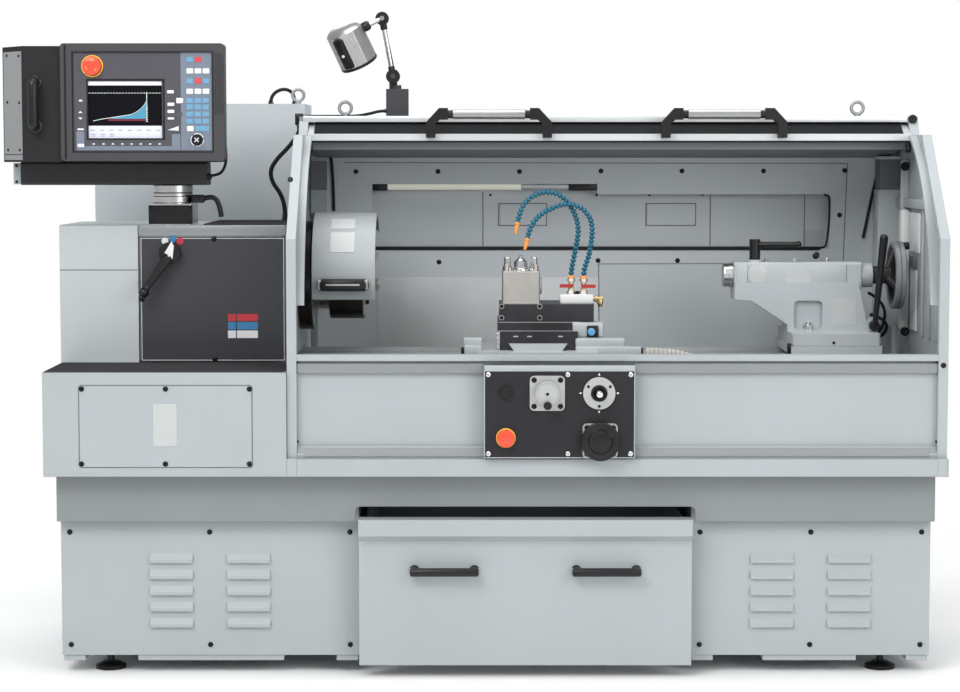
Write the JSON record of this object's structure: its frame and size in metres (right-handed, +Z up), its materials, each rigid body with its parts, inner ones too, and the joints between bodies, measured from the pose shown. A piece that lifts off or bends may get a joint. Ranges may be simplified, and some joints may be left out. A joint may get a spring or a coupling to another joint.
{
  "type": "CNC turning lathe",
  "caption": "Flat-bed CNC turning lathe with guarded work area, sliding carriage, tailstock, swivelling control pendant and chip drawer.",
  "frame": {"origin": "centre of the bounding box's bottom, on the floor under the machine", "axes": "+X along the bed from headstock to tailstock, -Y towards the operator, +Z up"},
  "size_m": [2.644, 1.33, 1.887],
  "materials": {
    "cabinet_paint": "fine textured light grey",
    "cast_paint": "smooth grey casting paint",
    "dark_panel": "charcoal, satin",
    "bed_iron": "ground ways",
    "machined_steel": "turned and ground",
    "tool_steel": "ground",
    "slide_iron": "blackened",
    "handle_black": "moulded",
    "chrome_steel": "polished",
    "red_cap": "moulded",
    "black_cap": "moulded",
    "clear_window": "tinted",
    "hose_blue": "moulded segments",
    "manifold_white": "anodised",
    "valve_red": "dipped",
    "rubber_black": "matt",
    "lamp_silver": "cast and painted",
    "belt_rubber": "woven back",
    "rail_light": "anodised"
  },
  "bodies": {
    "frame": {"left_pedestal": "cabinet_paint", "right_pedestal": "cabinet_paint", "levelling_feet": "rubber_black", "chip_pan": "cabinet_paint", "bed": "bed_iron", "feed_drive": "machined_steel", "headstock": "cast_paint", "face_plate": "dark_panel", "gear_cover": "cabinet_paint", "feed_box": "cabinet_paint", "spindle_bearings": "machined_steel", "end_guards": "cabinet_paint", "front_guard": "cabinet_paint", "back_guard": "cabinet_paint", "roof_panel": "cabinet_paint", "electrical_cabinet": "cabinet_paint", "eye_bolts": "chrome_steel", "motor_housing": "dark_panel", "drive_belt": "belt_rubber", "pendant_post": "machined_steel", "service_lines": "rubber_black", "lamp_base": "dark_panel"},
    "spindle_line": {"spindle": "machined_steel", "chuck": "machined_steel"},
    "jaw_1": {"jaw_1": "tool_steel"},
    "jaw_2": {"jaw_2": "tool_steel"},
    "jaw_3": {"jaw_3": "tool_steel"},
    "motor_rotor": {"motor_rotor": "machined_steel"},
    "chuck_guard": {"chuck_guard": "cabinet_paint"},
    "hood": {"hood_frame": "rail_light", "hood_window": "clear_window", "hood_handles": "handle_black"},
    "gear_lever": {"gear_lever": "black_cap"},
    "pendant_arm": {"pendant_arm": "dark_panel"},
    "pendant": {"pendant_head": "dark_panel", "pendant_case": "dark_panel"},
    "pendant_stop": {"pendant_stop": "red_cap"},
    "override_dial": {"override_dial": "black_cap"},
    "carriage": {"saddle": "cast_paint", "apron": "cast_paint", "control_panel": "dark_panel"},
    "cross_wheel": {"cross_wheel": "chrome_steel"},
    "carriage_wheel": {"carriage_wheel": "black_cap"},
    "jog_stick": {"jog_stick": "chrome_steel"},
    "cycle_button": {"cycle_button": "black_cap"},
    "panel_stop": {"panel_stop": "red_cap"},
    "cross": {"cross_slide": "slide_iron", "toolpost": "tool_steel", "coolant_manifold": "manifold_white", "coolant_hoses": "hose_blue"},
    "valve_left": {"valve_left": "valve_red"},
    "valve_right": {"valve_right": "valve_red"},
    "tailstock": {"tailstock": "cast_paint"},
    "quill": {"quill": "machined_steel"},
    "tailstock_wheel": {"tailstock_wheel": "black_cap"},
    "quill_lock": {"quill_lock": "black_cap"},
    "clamp_lever": {"clamp_lever": "black_cap"},
    "lamp_arm": {"lamp_arm": "rubber_black"},
    "lamp_head": {"lamp_head": "lamp_silver"},
    "chip_drawer": {"chip_drawer": "cabinet_paint"}
  },
  "joints": [
    {"name": "spindle_turn", "type": "hinge", "parent": "frame", "child": "spindle_line", "pos_m": [-0.533, -0.085, 1.106], "axis": [1, 0, 0], "continuous": true},
    {"name": "jaw_1_slide", "type": "slide", "parent": "spindle_line", "child": "jaw_1", "axis": [0, 0, 1], "range_m": [-0.02, 0.012]},
    {"name": "jaw_2_slide", "type": "slide", "parent": "spindle_line", "child": "jaw_2", "axis": [0, -0.866, -0.5], "range_m": [-0.02, 0.012]},
    {"name": "jaw_3_slide", "type": "slide", "parent": "spindle_line", "child": "jaw_3", "axis": [0, 0.866, -0.5], "range_m": [-0.02, 0.012]},
    {"name": "rotor_turn", "type": "hinge", "parent": "frame", "child": "motor_rotor", "pos_m": [-1.097, -0.085, 0.27], "axis": [1, 0, 0], "continuous": true},
    {"name": "chuck_guard_swing", "type": "hinge", "parent": "frame", "child": "chuck_guard", "pos_m": [-0.462, 0.05501, 1.24601], "axis": [-1, 0, 0], "range_deg": [0, 45]},
    {"name": "hood_swing", "type": "hinge", "parent": "frame", "child": "hood", "pos_m": [0.403, 0.055, 0.96], "axis": [1, 0, 0], "range_deg": [0, 74]},
    {"name": "gear_lever_turn", "type": "hinge", "parent": "frame", "child": "gear_lever", "pos_m": [-0.866, -0.29, 1.18], "axis": [0, 1, 0], "range_deg": [0, 70]},
    {"name": "arm_swivel", "type": "hinge", "parent": "frame", "child": "pendant_arm", "pos_m": [-0.866, -0.215, 1.381], "axis": [0, 0, 1], "range_deg": [-15, 70]},
    {"name": "pendant_swivel", "type": "hinge", "parent": "pendant_arm", "child": "pendant", "pos_m": [-1.018, -0.227, 1.44], "axis": [0, 0, 1], "range_deg": [-25, 25]},
    {"name": "pendant_stop_push", "type": "slide", "parent": "pendant", "child": "pendant_stop", "axis": [0, 1, 0], "range_m": [0, 0.005], "stiffness_N_per_m": 1200},
    {"name": "override_turn", "type": "hinge", "parent": "pendant", "child": "override_dial", "pos_m": [-0.763, -0.486, 1.502], "axis": [0, 1, 0], "range_deg": [-135, 135]},
    {"name": "carriage_feed", "type": "slide", "parent": "frame", "child": "carriage", "axis": [1, 0, 0], "range_m": [-0.33, 0.455]},
    {"name": "cross_wheel_turn", "type": "hinge", "parent": "carriage", "child": "cross_wheel", "pos_m": [0.209, -0.62, 0.806], "axis": [0, 1, 0], "continuous": true},
    {"name": "carriage_wheel_turn", "type": "hinge", "parent": "carriage", "child": "carriage_wheel", "pos_m": [0.355, -0.62, 0.674], "axis": [0, 1, 0], "continuous": true},
    {"name": "jog_tilt", "type": "hinge", "parent": "carriage", "child": "jog_stick", "pos_m": [0.352, -0.609, 0.806], "axis": [0, 0, 1], "range_deg": [-12, 12], "stiffness_Nm_per_rad": 0.6},
    {"name": "cycle_button_push", "type": "slide", "parent": "carriage", "child": "cycle_button", "axis": [0, 1, 0], "range_m": [0, 0.003], "stiffness_N_per_m": 600},
    {"name": "panel_stop_push", "type": "slide", "parent": "carriage", "child": "panel_stop", "axis": [0, 1, 0], "range_m": [0, 0.005], "stiffness_N_per_m": 1200},
    {"name": "cross_feed", "type": "slide", "parent": "carriage", "child": "cross", "axis": [0, 1, 0], "range_m": [-0.1, 0.16]},
    {"name": "valve_left_turn", "type": "hinge", "parent": "cross", "child": "valve_left", "pos_m": [0.291, -0.17, 1.0782], "axis": [0, 1, 0], "range_deg": [0, 90]},
    {"name": "valve_right_turn", "type": "hinge", "parent": "cross", "child": "valve_right", "pos_m": [0.327, -0.188, 1.0782], "axis": [0, -1, 0], "range_deg": [0, 90]},
    {"name": "tailstock_slide", "type": "slide", "parent": "frame", "child": "tailstock", "axis": [1, 0, 0], "range_m": [-0.45, 0.015]},
    {"name": "quill_feed", "type": "slide", "parent": "tailstock", "child": "quill", "axis": [-1, 0, 0], "range_m": [0, 0.1]},
    {"name": "tailstock_wheel_turn", "type": "hinge", "parent": "tailstock", "child": "tailstock_wheel", "pos_m": [1.256, -0.085, 1.106], "axis": [1, 0, 0], "range_deg": [0, 7200]},
    {"name": "quill_lock_turn", "type": "hinge", "parent": "tailstock", "child": "quill_lock", "pos_m": [0.835, -0.099, 1.156], "axis": [0, 0, 1], "range_deg": [0, 90]},
    {"name": "clamp_lever_turn", "type": "hinge", "parent": "tailstock", "child": "clamp_lever", "pos_m": [1.176, -0.185, 0.9622], "axis": [0, 1, 0], "range_deg": [-40, 0]},
    {"name": "lamp_arm_tilt", "type": "hinge", "parent": "frame", "child": "lamp_arm", "pos_m": [-0.237, 0.055, 1.695], "axis": [0, 1, 0], "range_deg": [-15, 45]},
    {"name": "lamp_head_tilt", "type": "hinge", "parent": "lamp_arm", "child": "lamp_head", "pos_m": [-0.269, 0.055, 1.867], "axis": [0, 1, 0], "range_deg": [-10, 60]},
    {"name": "drawer_slide", "type": "slide", "parent": "frame", "child": "chip_drawer", "axis": [0, -1, 0], "range_m": [0, 0.6]}
  ],
  "couplings": [
    {"joint": "jaw_2_slide", "follows": "jaw_1_slide", "ratio": 1},
    {"joint": "jaw_3_slide", "follows": "jaw_1_slide", "ratio": 1},
    {"joint": "rotor_turn", "follows": "spindle_turn", "ratio": 1.5714},
    {"joint": "quill_feed", "follows": "tailstock_wheel_turn", "m_per_rad": 0.00079577}
  ]
}
